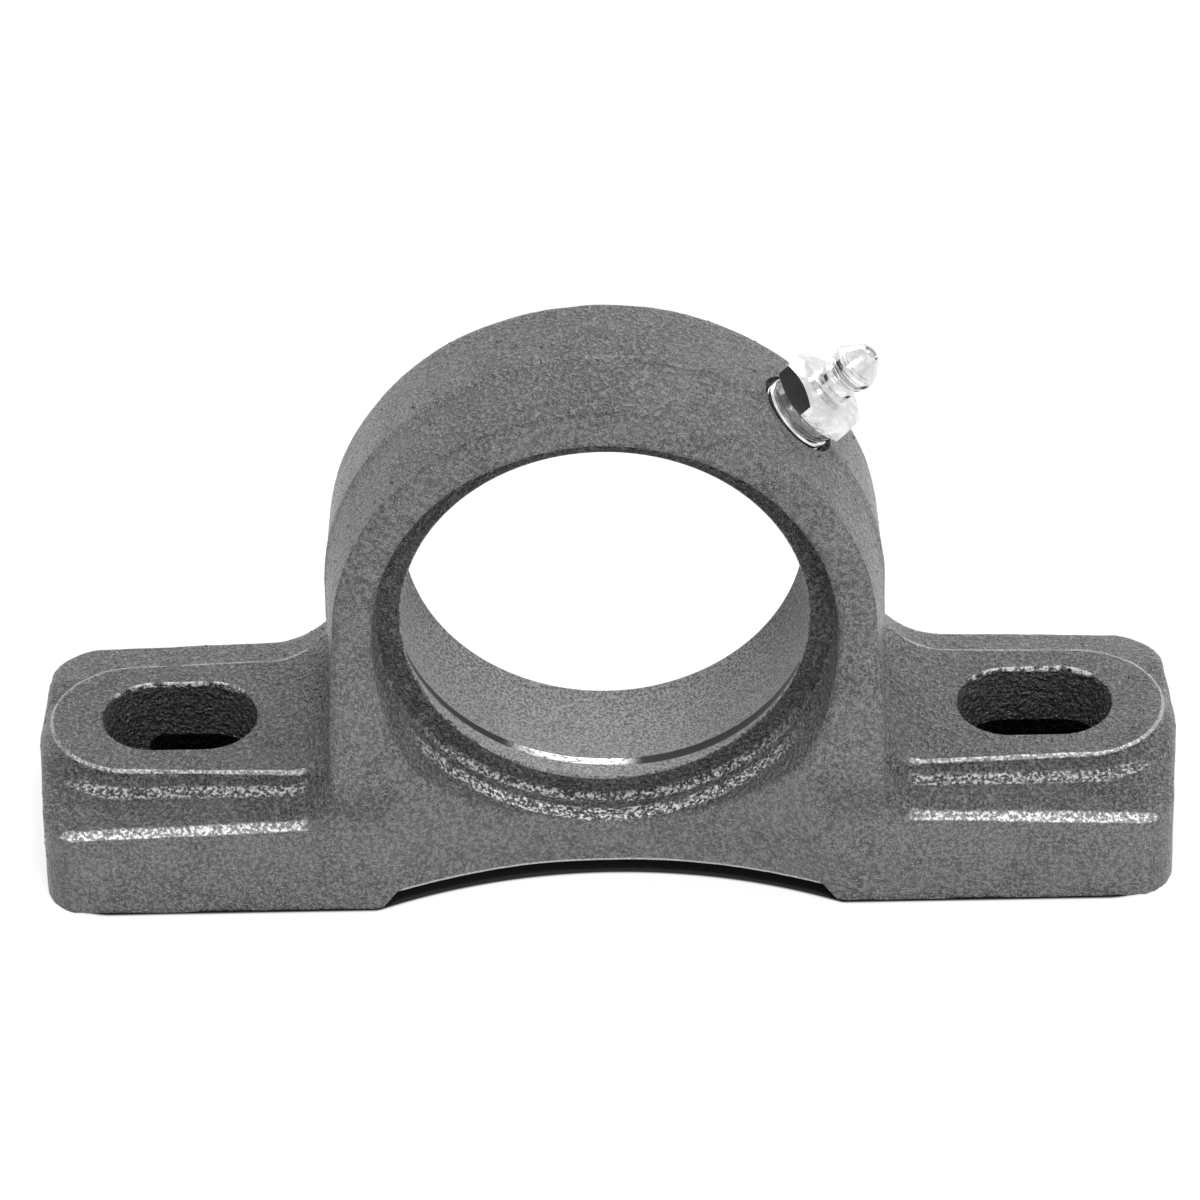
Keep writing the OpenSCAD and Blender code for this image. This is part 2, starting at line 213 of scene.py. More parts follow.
class FinishSettings(bpy.types.PropertyGroup):
    """Colours and textures of the finishes."""

    paint: colour("Paint", "Dark grey paint on the casting", (0.145, 0.145, 0.148))
    pit: colour("Pits", "Paint in the pits of the casting", (0.025, 0.025, 0.026))
    # painted highlight, partly real wear: the near-white that edges take where glints fall
    worn_and_glint: colour("Worn paint", "Paint rubbed thin along edges", (0.95, 0.95, 0.95))
    # near-black, also used as painted shade: the glossy band behind the lip, the recess floor ring and the
    # slot walls
    shade: colour("Glossy band", "Glossy dark paint of the band in the seat", (0.012, 0.012, 0.013))
    seat_dark: colour("Seat grain", "Dark grains of the turned seat", (0.03, 0.03, 0.031))
    seat_light: colour("Seat", "Light grains of the turned seat", (0.2, 0.2, 0.204))
    lip: colour("Lip", "Turned lip at the seat's front edge", (0.17, 0.17, 0.173))
    # painted reflection: bright metal in the lower left of the glossy band
    painted_reflection_iron: colour("Bare iron", "Bare iron of the bright band", (0.6, 0.6, 0.6))
    zinc: colour("Zinc", "Zinc plate", (0.82, 0.82, 0.83))
    steel: colour("Steel", "Polished ball and spring wire", (0.62, 0.62, 0.65))
    haze: colour("Haze", "Faint haze on the ball", (0.4, 0.4, 0.42))
    paint_roughness: number("Paint roughness", "Roughness of the paint", 0.25)
    grain_size: length("Grain size", "Size of the sand grain in the casting", 0.55)
    grain_height: length("Grain height", "Height of the grain", 0.9)
    seat_grain: length("Seat grain size", "Size of the grain in the turned seat", 0.33)
    speck_density: number("Speck density", "Cast specks to a square metre", 90000, 1e6)
    speck_r: length("Speck radius", "Radius of the largest cast specks", 0.22)
    speck_flat: number("Speck height", "Height of a speck as a share of its radius", 0.5)


class StageSettings(bpy.types.PropertyGroup):
    """Camera, light and floor."""

    camera_at: point("Camera place", "Where the camera stands", (4.78475, -793.0106, 639.1740))
    camera_yaw: angle("Camera yaw", "Turn of the camera from the Y axis", -0.38721)
    camera_pitch: angle("Camera pitch", "How far the camera looks down", 37.40989)
    camera_roll: angle("Camera roll", "Roll of the camera", -1.25750)
    camera_lens: number("Lens", "Focal length in millimetres on a 36 mm sensor", 246.165, 1000)
    key_power: number("Key light", "Power of the key light in watts", 4.0, 100)
    key_at: point("Key light place", "Where the key light stands", (50, -400, 720))
    rear_power: number("Rear softbox", "Power of the softbox behind the casting in watts", 6.5, 100)
    rear_at: point("Softbox place", "Where the rear softbox stands", (100, 800, 600))
    card_at: point("Card place", "Middle of the black card at the left", (-300, -35, 195))
    card_depth: length("Card depth", "Front to back of the black card", 290)
    card_height: length("Card height", "Height of the black card", 270)
    front_level: number("Front", "Strength of the surroundings in front", 0.9, 5)
    rear_level: number("Rear", "Strength of the surroundings behind", 2.0, 5)
    left_level: number("Left", "Strength of the surroundings on the left", 0.1, 5)
    right_level: number("Right", "Strength of the surroundings on the right", 2.2, 5)
    top_level: number("Top", "Strength of the surroundings above", 1.0, 5)
    floor_reach: length("Floor", "Middle of the floor to its sides", 3000)
    white_share: number("White floor", "Share of plain white in the floor that the camera sees", 0.8)


# Node trees for materials and for geometry

def maths(operation, swapped=False):
    """An operator of Value that adds a Math node."""

    def method(value, other):
        return value.math(operation, other, value) if swapped else value.math(operation, value, other)

    return method


class Value:
    """One output of a node. Python's operators and numpy's functions of two terms add Math nodes."""

    __add__ = __radd__ = maths("ADD")
    __mul__ = __rmul__ = maths("MULTIPLY")
    __sub__ = maths("SUBTRACT")
    __rsub__ = maths("SUBTRACT", swapped=True)
    __pow__ = maths("POWER")

    def __init__(self, sheet, socket):
        self.sheet = sheet
        self.socket = socket

    def math(self, operation, *terms):
        return self.sheet.node("ShaderNodeMath", {"operation": operation}, dict(enumerate(terms)))

    def __abs__(self):
        return self.math("ABSOLUTE", self)

    def __array_ufunc__(self, function, method, a, b):
        """Answers np.hypot, np.maximum and np.minimum, so that one formula serves a mesh and its finish."""
        if function is np.hypot:
            return (a ** 2.0 + b ** 2.0) ** 0.5
        return self.math(function.__name__.upper(), a, b)

    def rise(self, low, high):
        """0 at low and 1 at high, smoothly."""
        settings = {"interpolation_type": "SMOOTHSTEP"}
        return self.sheet.node("ShaderNodeMapRange", settings, {"Value": self, 1: low, 2: high})

    def fall(self, low, high):
        """1 at low and 0 at high, smoothly."""
        return 1 - self.rise(low, high)

    def within(self, low, high, soft):
        """1 between low and high, falling to 0 over soft at each end."""
        return self.rise(low - soft, low) * self.fall(high, high + soft)


class Sheet:
    """A node tree that is filled through one method."""

    def __init__(self, tree):
        self.tree = tree

    def node(self, kind, settings=None, sockets=None, output=0):
        """Adds a node: its settings first, then its sockets' values or links. Gives one of its outputs."""
        made = self.tree.nodes.new(kind)
        for key, value in (settings or {}).items():
            setattr(made, key, value)
        for key, value in (sockets or {}).items():
            target = self.find(made.inputs, key)
            if isinstance(value, Value):
                self.tree.links.new(value.socket, target)
            else:
                target.default_value = value
        return Value(self, self.find(made.outputs, output)) if made.outputs else None

    @staticmethod
    def find(sockets, key):
        """A socket by its number, its identifier or its name."""
        if isinstance(key, int):
            return sockets[key]
        return next((socket for socket in sockets if socket.identifier == key), None) or sockets[key]

    def parts(self, vector):
        """The x, y and z of a vector."""
        return [self.node("ShaderNodeSeparateXYZ", sockets={"Vector": vector}, output=axis) for axis in "XYZ"]

    def mix(self, factor, a, b):
        """Mixes two colours."""
        sides = {"Factor_Float": factor}
        for key, side in (("A_Color", a), ("B_Color", b)):
            sides[key] = side if isinstance(side, Value) else (*side[:3], 1)
        return self.node("ShaderNodeMix", {"data_type": "RGBA"}, sides, "Result_Color")


class Finish(Sheet):
    """A new material, patterned in the object's own coordinates."""

    def __init__(self, name):
        self.material = bpy.data.materials.new(name)
        self.material.use_nodes = True
        super().__init__(self.material.node_tree)
        self.tree.nodes.clear()
        self.place = self.node("ShaderNodeTexCoord", output="Object")
        self.x, self.y, self.z = self.parts(self.place)

    def noise(self, size, detail=2.0, roughness=0.5):
        """Noise with features of about the given size."""
        sockets = {"Vector": self.place, "Scale": 1 / size, "Detail": detail, "Roughness": roughness}
        return self.node("ShaderNodeTexNoise", sockets=sockets)

    def grain(self, size, low=0.3, high=0.7, detail=2.0):
        """Rougher noise, spread to run from 0 at low to 1 at high."""
        return self.noise(size, detail, 0.6).rise(low, high)

    def bump(self, height, distance):
        return self.node("ShaderNodeBump", sockets={"Height": height, "Distance": distance})

    def done(self, sockets):
        """Closes the material with a Principled shader that takes these sockets."""
        return self.ended(self.node("ShaderNodeBsdfPrincipled", sockets=sockets))

    def ended(self, shader):
        """The material, closed with this shader."""
        self.node("ShaderNodeOutputMaterial", sockets={"Surface": shader})
        return self.material


def toned(colour, factor):
    """A colour made lighter or darker."""
    return tuple(factor * c for c in colour)


class CastZones:
    """Zones of the casting's surface as masks, 1 inside each and 0 outside."""

    def __init__(self, m, casting):
        s = casting.s
        self.m = m
        self.casting = casting
        self.radius = np.hypot(m.x, m.z - s.axis_h)
        self.wide = abs(m.x)
        self.forward = -1 * m.y
        self.seat = np.hypot(self.radius, m.y).fall(s.seat_r + 0.15 * MM, s.seat_r + 0.35 * MM)
        self.on_foot = self.wide.rise(s.ring_r + 2 * MM, s.ring_r + 4 * MM)
        along = np.maximum(abs(self.wide - s.bolt_spacing / 2) - (s.slot_len - s.slot_w) / 2, 0)
        self.slot_side = np.hypot(along, m.y) - s.slot_w / 2
        self.in_slot = self.slot_side.fall(0.0, 0.1 * MM) * self.on_foot

    def bands(self):
        """The lip at the seat's front edge, the glossy band behind it, near-black as partly painted shade
        behind the lip, and a painted reflection of bright metal in the band's lower left.
        """
        m, s = self.m, self.casting.s
        soft = 0.08 * MM
        to_right = np.maximum(m.x, 0)
        lip = self.seat * (m.y + to_right * s.lip_turn).fall(s.lip_y - soft, s.lip_y + soft)
        band = self.seat * (1 - lip) * (m.y + to_right * s.band_turn).fall(s.band_y - soft, s.band_y + soft)
        # painted reflection: bright metal in the band's lower left
        painted_reflection = band * m.x.within(-9 * MM, 0.5 * MM, 4 * MM) * m.z.fall(18 * MM, 24 * MM)
        return lip, band, painted_reflection * m.grain(0.5 * MM, 0.3, 0.5)

    def recess_floor(self):
        """The narrow ring on each side between the seat and the recess wall."""
        s = self.casting.s
        ring = (1 - self.seat) * self.radius.within(s.seat_r - 2 * MM, s.recess_r, 0.2 * MM)
        return ring * abs(self.m.y).fall(s.seat_w / 2 + 0.1 * MM, s.seat_w / 2 + 0.4 * MM)

    def smooth_faces(self):
        """The front faces and the drawn-in sides, where the mould was smoother."""
        m, s = self.m, self.casting.s
        slant = self.casting.slant(self.forward, s.ring_front, m.z)
        pedestal = np.maximum(slant, self.forward - s.base_depth / 2)
        front = np.minimum(pedestal, self.forward - s.ring_front)
        return np.maximum(front, self.casting.waist(m.x, m.y)).rise(-0.9 * MM, -0.35 * MM)

    def foot_edges(self):
        """The rims of the bosses, slots, feet and relief, and the front of the bosses' fillets."""
        m, s = self.m, self.casting.s
        boss_side = self.casting.boss_side(m.x, m.y)
        boss = boss_side.within(-0.35 * MM, 0.12 * MM, 0.15 * MM) * self.on_foot
        boss = boss * m.z.rise(s.boss_h - 0.6 * MM, s.boss_h - 0.4 * MM)
        slot = self.slot_side.within(0.02 * MM, 0.3 * MM, 0.1 * MM) * m.y.rise(3.5 * MM, 5.5 * MM)
        slot = slot * m.z.rise(s.boss_h - 0.8 * MM, s.boss_h - 0.5 * MM)
        level = m.z + (self.wide - s.ring_r) * math.tan(s.foot_slope)
        foot = level.within(s.foot_edge_h - s.edge_round, s.foot_edge_h + 0.1 * MM, 0.3 * MM) * self.on_foot
        foot = foot * (m.y + s.base_depth / 2).fall(0.9 * MM, 1.3 * MM)
        relief = m.z.within(s.relief_h, s.relief_h + 0.2 * MM, 0.1 * MM) * m.y.fall(-11 * MM, -10 * MM)
        relief = relief * self.wide.fall(s.relief_len / 2 - 3 * MM, s.relief_len / 2 - 2 * MM)
        fillet = boss_side.within(1.1 * MM, 2.2 * MM, 0.4 * MM) * self.on_foot
        fillet = fillet * m.y.rise(-15 * MM, -13.5 * MM) * m.y.fall(-11 * MM, -9 * MM)
        return boss, slot, foot, relief, fillet

    def recess_edges(self):
        """The lower stretch of the front recess's mouth and of its floor's edge."""
        s = self.casting.s
        low_side = self.m.z.fall(12 * MM, 25 * MM)
        depth = self.forward - s.seat_w / 2
        mouth = self.radius.within(s.recess_r - MM, s.recess_r + MM, 0.3 * MM)
        floor = self.radius.within(s.recess_r - 0.5 * MM, s.recess_r + 0.3 * MM, 0.2 * MM)
        mouth = mouth * depth.within(2.2 * MM, 3.6 * MM, 0.5 * MM)
        floor = floor * depth.within(0.1 * MM, 0.7 * MM, 0.3 * MM)
        return mouth * low_side, floor * low_side

    def wear_and_glints(self):
        """Painted highlights, partly real wear: a light colour along the edges where the light's glints fall,
        in even lines and in flecks.
        """
        m = self.m
        boss, slot, foot, relief, fillet = self.foot_edges()
        mouth, floor = self.recess_edges()
        glint_lines = boss * 0.3 + foot * 0.2 + slot * m.grain(1.3 * MM, 0.42, 0.55) * 0.7 + relief * 0.35
        boss_front = boss * m.y.fall(-9 * MM, -6 * MM)
        glint_flecks = (foot + mouth) * 0.9 + (fillet + floor + boss_front) * 0.6
        return np.minimum(glint_lines + glint_flecks * m.grain(0.45 * MM, 0.48, 0.58), 1)


def painted_iron(casting, finish):
    """Thin dark paint over sand-cast grain, and the finer finish of the turned seat."""
    m = Finish("painted_cast_iron")
    zones = CastZones(m, casting)
    seat = zones.seat
    lip, band, painted_reflection = zones.bands()
    lumps = m.grain(1.5 * finish.grain_size)
    sand = m.grain(finish.grain_size)
    fine = m.grain(0.4 * finish.grain_size, detail=1.0)
    turned = m.noise(finish.seat_grain, 2.0, 0.7)
    cast = (sand * 0.6 + lumps * 0.4) * (1 - zones.smooth_faces() * 0.85) + fine * 0.16
    height = cast * (1 - seat) + turned * 0.3 * seat * (1 - band)

    paint = m.mix((sand * 0.5 + fine * 0.5).rise(0.2, 0.8), finish.pit, finish.paint)
    paint = m.mix(m.grain(6 * MM, detail=3.0) * 0.25, paint, toned(finish.paint, 1.25))
    # painted shade: the recess floor ring and the slot walls darkened towards near-black, the recess floor
    # partly also a darker paint
    paint = m.mix(zones.recess_floor() * 0.45 + zones.in_slot * 0.6, paint, finish.shade)
    # painted highlights, partly wear: near-white along the edges where glints fall
    paint = m.mix(zones.wear_and_glints(), paint, finish.worn_and_glint)
    base = m.mix(seat, paint, m.mix(turned.rise(0.36, 0.64), finish.seat_dark, finish.seat_light))
    lip_tone = m.mix(turned.rise(0.4, 0.6), toned(finish.lip, 0.1), toned(finish.lip, 1.4))
    # the band's near-black is partly painted shade; the bright metal patch in it is a painted reflection
    for zone, tone in ((lip, lip_tone), (band, finish.shade), (painted_reflection, finish.painted_reflection_iron)):
        base = m.mix(zone, base, tone)
    rough = finish.paint_roughness + (sand - 0.5) * 0.12
    rough = rough * (1 - seat) + seat * (0.5 - painted_reflection * 0.2)
    return m.done({
        "Base Color": base,
        "Roughness": rough,
        "Specular IOR Level": 0.7,
        "Metallic": band,
        "Normal": m.bump(height, finish.grain_height),
    })


def bright_zinc(finish):
    """Bright zinc plate over turned steel."""
    m = Finish("zinc_plated_steel")
    cloud = m.noise(1.4 * MM, 3.0, 0.6)
    fine = m.noise(0.25 * MM)
    return m.done({
        "Base Color": m.mix(cloud.rise(0.4, 0.6), finish.zinc, toned(finish.zinc, 0.78)),
        "Metallic": 1.0,
        "Roughness": 0.06 + cloud * 0.14,
        "Normal": m.bump(fine * 0.5 + cloud, 0.04 * MM),
    })


def polished_steel(finish):
    """Polished steel of the check ball."""
    m = Finish("ball_steel")
    haze = m.noise(0.5 * MM)
    return m.done({
        "Base Color": m.mix(haze * 0.3, finish.steel, finish.haze),
        "Metallic": 1.0,
        "Roughness": 0.06 + haze * 0.1,
    })


def drawn_wire(finish):
    """Drawn spring wire with faint marks."""
    m = Finish("spring_steel")
    marks = m.noise(0.12 * MM, 2.0, 0.6)
    return m.done({
        "Base Color": m.mix(marks, finish.steel, toned(finish.steel, 0.7)),
        "Metallic": 1.0,
        "Roughness": 0.2 + marks * 0.2,
        "Normal": m.bump(marks, 0.004 * MM),
    })


# Meshes

def linked(name, data):
    """A new object in the scene with this data."""
    thing = bpy.data.objects.new(name, data)
    bpy.context.scene.collection.objects.link(thing)
    return thing


def new_piece(name, mesh, material, body, slot, *nodes):
    """Links a finished mesh as a piece of the object on a CAD body."""
    piece = linked(name, mesh)
    mesh.materials.clear()
    mesh.materials.append(material)
    if nodes:
        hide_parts(*nodes)
    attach(piece, body)
    return piece


def baked(thing):
    """The evaluated mesh of an object, which is then removed."""
    graph = bpy.context.evaluated_depsgraph_get()
    mesh = bpy.data.meshes.new_from_object(thing.evaluated_get(graph))
    bpy.data.objects.remove(thing)
    return mesh


def combined(mesh, other, operation):
    """Boolean of two closed meshes: DIFFERENCE, UNION or INTERSECT."""
    body = linked("scratch", mesh)
    tool = linked("scratch", other)
    modifier = body.modifiers.new("cut", "BOOLEAN")
    modifier.operation = operation
    modifier.solver = "MANIFOLD"
    modifier.object = tool
    result = baked(body)
    bpy.data.objects.remove(tool)
    if not result.polygons:
        raise RuntimeError("a boolean left nothing")
    return result


def closed(name, form):
    """Mesh of a finished form with its faces outwards."""
    bmesh.ops.recalc_face_normals(form, faces=form.faces)
    mesh = bpy.data.meshes.new(name)
    form.to_mesh(mesh)
    form.free()
    return mesh


def lathe(name, profile, sides, place=Matrix.Identity(4)):
    """Closed solid of turning (radius, along) points about the local Z axis, moved by place."""
    form = bmesh.new()
    rings = []
    for radius, along in profile:
        count = sides if radius > 0 else 1
        turns = [2 * math.pi * i / count for i in range(count)]
        rings.append([form.verts.new((radius * math.cos(t), radius * math.sin(t), along)) for t in turns])
    for low, high in zip(rings, rings[1:]):
        for i in range(sides):
            around = ((low, i), (low, i + 1), (high, i + 1), (high, i))
            corners = list(dict.fromkeys(ring[k % len(ring)] for ring, k in around))
            if len(corners) > 2:
                form.faces.new(corners)
    form.transform(place)
    return closed(name, form)


def loft(name, rings):
    """Closed solid through rings of equally many points, with flat ends."""
    form = bmesh.new()
    loops = [[form.verts.new(point) for point in ring] for ring in rings]
    for low, high in zip(loops, loops[1:]):
        for i in range(len(low)):
            k = (i + 1) % len(low)
            form.faces.new((low[i], low[k], high[k], high[i]))
    form.faces.new(loops[0][::-1])
    form.faces.new(loops[-1])
    return closed(name, form)


def shade(mesh, sharp_angle):
    """Smooth shading with sharp edges where faces meet at more than sharp_angle degrees."""
    mesh.shade_smooth()
    mesh.set_sharp_from_angle(angle=math.radians(sharp_angle))
    return mesh


# Casting, as a field that is negative inside

def round_and(a, b, radius):
    """What lies in both, with the edge between them rounded."""
    corner = np.hypot(np.maximum(a + radius, 0), np.maximum(b + radius, 0))
    return np.minimum(np.maximum(a, b), -radius) + corner


def round_or(a, b, radius):
    """What lies in either, with a fillet between them."""
    return -round_and(-a, -b, radius)


def soft_or(a, b, reach):
    """What lies in either, blended where the two meet at a flat angle."""
    near = np.maximum(reach - np.abs(a - b), 0) / reach
    return np.minimum(a, b) - near * near * reach / 4


def soft_and(a, b, reach):
    return -soft_or(-a, -b, reach)


def lattice_noise(x, y, z, size, seed):
    """Smooth noise from -1 to 1 with features of the given size."""
    period = 64
    table = np.random.default_rng(seed).uniform(-1, 1, (period,) * 3).astype(np.float32)
    total = 0
    cells, weights = [], []
    for axis in (x, y, z):
        scaled = axis / size
        whole = np.floor(scaled).astype(np.int32)
        part = scaled - whole
        cells.append(whole)
        weights.append(part * part * (3 - 2 * part))
    for corner in np.ndindex(2, 2, 2):
        weight = 1
        for step, part in zip(corner, weights):
            weight = weight * (part if step else 1 - part)
        spot = tuple((cell + step) % period for cell, step in zip(cells, corner))
        total = total + weight * table[spot]
    return total


SLOPE_STEP = 0.02 * MM
PULL_IN = 0.08  # how firmly a corner of the mesh is held near the middle of its crossings


class Casting:
    """The cast shape of the housing, from its settings."""

    def __init__(self, settings):
        self.s = settings

    def arch(self, x, y, z):
        """Outer surface of the ring and of the flanks below it, drafted both ways from the parting plane."""
        s = self.s
        fade = np.exp(-np.maximum(s.axis_h - z, 0) / s.draft_fade)
        reach = np.hypot(x, np.maximum(z - s.axis_h, 0))
        reach = reach + math.tan(s.front_draft) * np.maximum(-y - s.parting, 0) * fade
        reach = reach + math.tan(s.rear_draft) * np.maximum(y + s.parting, 0)
        return (reach - s.ring_r) * math.cos(s.front_draft)

    def slant(self, out, face, z):
        """Distance past the plane that leans from a foot's side in to the ring's face."""
        s = self.s
        half_depth = s.base_depth / 2
        lean = math.atan2(half_depth - face, s.axis_h - s.shoulder_h)
        return (out - half_depth) * math.cos(lean) + (z - s.shoulder_h) * math.sin(lean)

    def waist(self, x, y):
        """Distance past the round hollow that draws the sides in at mid length."""
        s = self.s
        inward = (s.base_depth - s.waist_depth) / 2
        radius = ((s.waist_len / 2) ** 2 + inward ** 2) / (2 * inward)
        return radius - np.hypot(x, abs(y) - s.waist_depth / 2 - radius)

    def boss_side(self, x, y):
        """Distance outside the upright side of a boss, seen from above."""
        s = self.s
        across = abs(y + s.boss_shift) - s.boss_taper * np.maximum(s.boss_end_x - abs(x), 0)
        return np.hypot(np.maximum(abs(x) - s.boss_end_x, 0), np.maximum(across, 0)) - s.boss_w / 2

    def faces(self, x, y, z):
        """Front and rear faces and the ends, seen as limits on y and x."""
        s = self.s
        half_depth = s.base_depth / 2
        sides = []
        for out, face in ((-y, s.ring_front), (y, s.ring_back)):
            foot_side = soft_and(self.slant(out, face, z), out - half_depth, s.shoulder_blend)
            sides.append(soft_or(out - face, foot_side, s.face_blend))
        deep = np.abs(y)
        end = (np.abs(x) - s.base_len / 2) * math.cos(s.end_draft) + deep * math.sin(s.end_draft)
        corner_r = np.where(y > 0, s.rear_corner_r, s.corner_r)
        return np.maximum(np.maximum(*sides), round_and(end, deep - half_depth, corner_r))

    def feet(self, x, y, z):
        """Upper surface of the feet with their bolt bosses."""
        s = self.s
        drop = (s.foot_h - s.foot_edge_h) / (s.base_depth / 2 - s.boss_w / 2 - s.edge_round)
        top = z - s.foot_h + drop * np.maximum(np.abs(y) - s.boss_w / 2, 0)
        top = top + math.tan(s.foot_slope) * np.maximum(np.abs(x) - s.ring_r, 0)
        top = top + s.rear_sag * np.clip(2 * y / s.base_depth, 0, 1) * (x > 0)
        side = self.boss_side(x, y) + (z - s.boss_h) * math.tan(s.boss_draft)
        side = side * math.cos(s.boss_draft)
        return round_or(top, round_and(side, z - s.boss_h, s.boss_edge), s.boss_fillet)

    def recess(self, x, y, z):
        """Side recesses round the seat."""
        s = self.s
        radius = np.hypot(x, z - s.axis_h)
        deep = np.abs(y) - s.seat_w / 2
        wall = (radius - s.recess_r - math.tan(s.recess_draft) * deep) * math.cos(s.recess_draft)
        return round_and(wall, 0.08 * MM - deep, 0.5 * MM)

    def pockets(self, x, y, z):
        """Cored pockets under the feet."""
        s = self.s
        inner = s.relief_len / 2 + s.pad_len
        outer = s.base_len / 2 - np.where(x < 0, s.left_end_wall, s.right_end_wall)
        along = np.abs(np.abs(x) - (inner + outer) / 2) - (outer - inner) / 2
        outline = round_and(along, np.abs(y) - s.base_depth / 2 + s.pocket_wall, s.pocket_r)
        return round_and(outline, z - s.pocket_h, 2 * MM)

    def field(self, x, y, z):
        """Distance to the cast surface, negative in the iron."""
        s = self.s
        rear = np.clip(y / s.ring_back, 0, 1)
        fillet = s.flank_fillet + (s.rear_fillet - s.flank_fillet) * rear
        high = np.clip((z - s.boss_h) / s.flank_fillet, 0, 1)
        edge = s.edge_round + (s.ring_back_round - s.edge_round) * rear * high
        body = round_or(self.feet(x, y, z), self.arch(x, y, z), fillet)
        body = round_and(body, self.faces(x, y, z), edge)
        body = soft_and(body, self.waist(x, y), s.waist_blend)
        body = round_and(body, -self.recess(x, y, z), s.recess_edge)
        seam = np.exp(-((y + s.parting) / s.seam_w) ** 2) * np.clip(np.abs(z - s.boss_h) / MM - 1, 0, 1)
        body = body + s.inset - s.seam_h * seam
        for size, share, seed in ((9 * MM, 1, 3), (3.1 * MM, 0.5, 4), (1.5 * MM, 0.4, 5)):
            body = body + share * s.unevenness * lattice_noise(x, y, z, size, seed)
        body = round_and(body, -z, s.under_edge)
        body = round_and(body, -self.pockets(x, y, z), s.under_edge)
        bore = np.hypot(x, z - s.axis_h) - s.seat_r + 2 * MM
        return np.maximum(body, -bore)

    def slope(self, points, step):
        """Unit gradient of the field at the points."""
        push = step * np.eye(3)
        columns = [self.field(*(points + p).T) - self.field(*(points - p).T) for p in push]
        slope = np.stack(columns, axis=1)
        return slope / np.maximum(np.linalg.norm(slope, axis=1, keepdims=True), 1e-12)


def contour(casting, low, high, cell):
    """Closed quad mesh of the casting's surface: a corner in each crossed cell, set by its tangent planes."""
    axes = [np.arange(a, b + cell, cell) for a, b in zip(low, high)]
    grid = np.meshgrid(*(axis.astype(np.float32) for axis in axes), indexing="ij", sparse=True)
    value = casting.field(*grid)
    shape = value.shape
    crossings, around, flips = [], [], []
    for axis in range(3):
        a = np.take(value, range(shape[axis] - 1), axis)
        b = np.take(value, range(1, shape[axis]), axis)
        spots = np.argwhere((a < 0) != (b < 0))
        va, vb = a[tuple(spots.T)], b[tuple(spots.T)]
        point = spots.astype(float)
        point[:, axis] += va / (va - vb)
        crossings.append(point)
        step_u, step_v = np.eye(3, dtype=int)[[(axis + 1) % 3, (axis + 2) % 3]]
        cells = [spots, spots - step_u, spots - step_u - step_v, spots - step_v]
        around.append(np.stack([np.ravel_multi_index(tuple(c.T), shape) for c in cells], axis=1))
        flips.append(va >= 0)
    points = np.array([axis[0] for axis in axes]) + np.concatenate(crossings) * cell
    quads = np.concatenate(around)
    names, corner = np.unique(quads, return_inverse=True)
    corner = corner.reshape(quads.shape)
    normals = casting.slope(points, SLOPE_STEP)

    count = np.bincount(corner.ravel(), minlength=len(names))[:, None]
    owners = corner.ravel()
    spread = np.repeat(points, 4, axis=0)
    turned = np.repeat(normals, 4, axis=0)

    def gather(columns):
        return np.stack([np.bincount(owners, column, len(names)) for column in columns.T], axis=1)

    middle = gather(spread) / count
    offset = np.einsum("ij,ij->i", turned, spread - middle[owners])
    right = gather(turned * offset[:, None])
    left = gather((turned[:, :, None] * turned[:, None, :]).reshape(-1, 9)).reshape(-1, 3, 3)
    move = np.linalg.solve(left + PULL_IN * np.eye(3), right[:, :, None])[:, :, 0]
    reach = np.linalg.norm(move, axis=1, keepdims=True)
    corners = middle + move * np.minimum(1, cell / np.maximum(reach, 1e-12))
    flip = np.concatenate(flips)
    corner[flip] = corner[flip][:, ::-1]
    return corners, corner


def quad_mesh(name, corners, quads):
    mesh = bpy.data.meshes.new(name)
    mesh.vertices.add(len(corners))
    mesh.vertices.foreach_set("co", corners.astype(np.float32).ravel())
    mesh.loops.add(quads.size)
    mesh.loops.foreach_set("vertex_index", quads.astype(np.int32).ravel())
    mesh.polygons.add(len(quads))
    mesh.polygons.foreach_set("loop_start", np.arange(0, quads.size, 4, dtype=np.int32))
    mesh.update(calc_edges=True)
    mesh.validate()
    return mesh


def bore_cutter(s):
    """Turned shape of the seat: recess floors, bevels and the spherical seat."""
    half = s.seat_w / 2
    floor_r = s.recess_r - 0.3 * MM
    front, rear = half - s.front_bevel, half - s.rear_bevel
    steps = 24
    arc = [front - (front + rear) * i / steps for i in range(steps + 1)]
    seat = [(math.sqrt(s.seat_r ** 2 - along ** 2), along) for along in arc]
    profile = [
        (0, half + MM), (floor_r, half + MM), (floor_r, half), (seat[0][0] + s.front_bevel, half), *seat,
        (seat[-1][0] + s.rear_bevel, -half), (floor_r, -half), (floor_r, -half - MM), (0, -half - MM),
    ]
    place = Matrix.Translation((0, 0, s.axis_h)) @ Matrix.Rotation(math.pi / 2, 4, "X")
    return lathe("bore_cutter", profile, 256, place)


def relief_cutter(s):
    """Prism of the relief under the middle of the base."""
    low, high = s.relief_len / 2, s.relief_len / 2 - s.relief_slope
    outline = [(low + MM, -MM), (low, 0), (high, s.relief_h)]
    outline = [(-low - MM, -MM), *outline, (-high, s.relief_h), (-low, 0)]
    reach = s.base_depth / 2 + MM
    return loft("relief_cutter", [[(x, side, z) for x, z in outline] for side in (-reach, reach)])


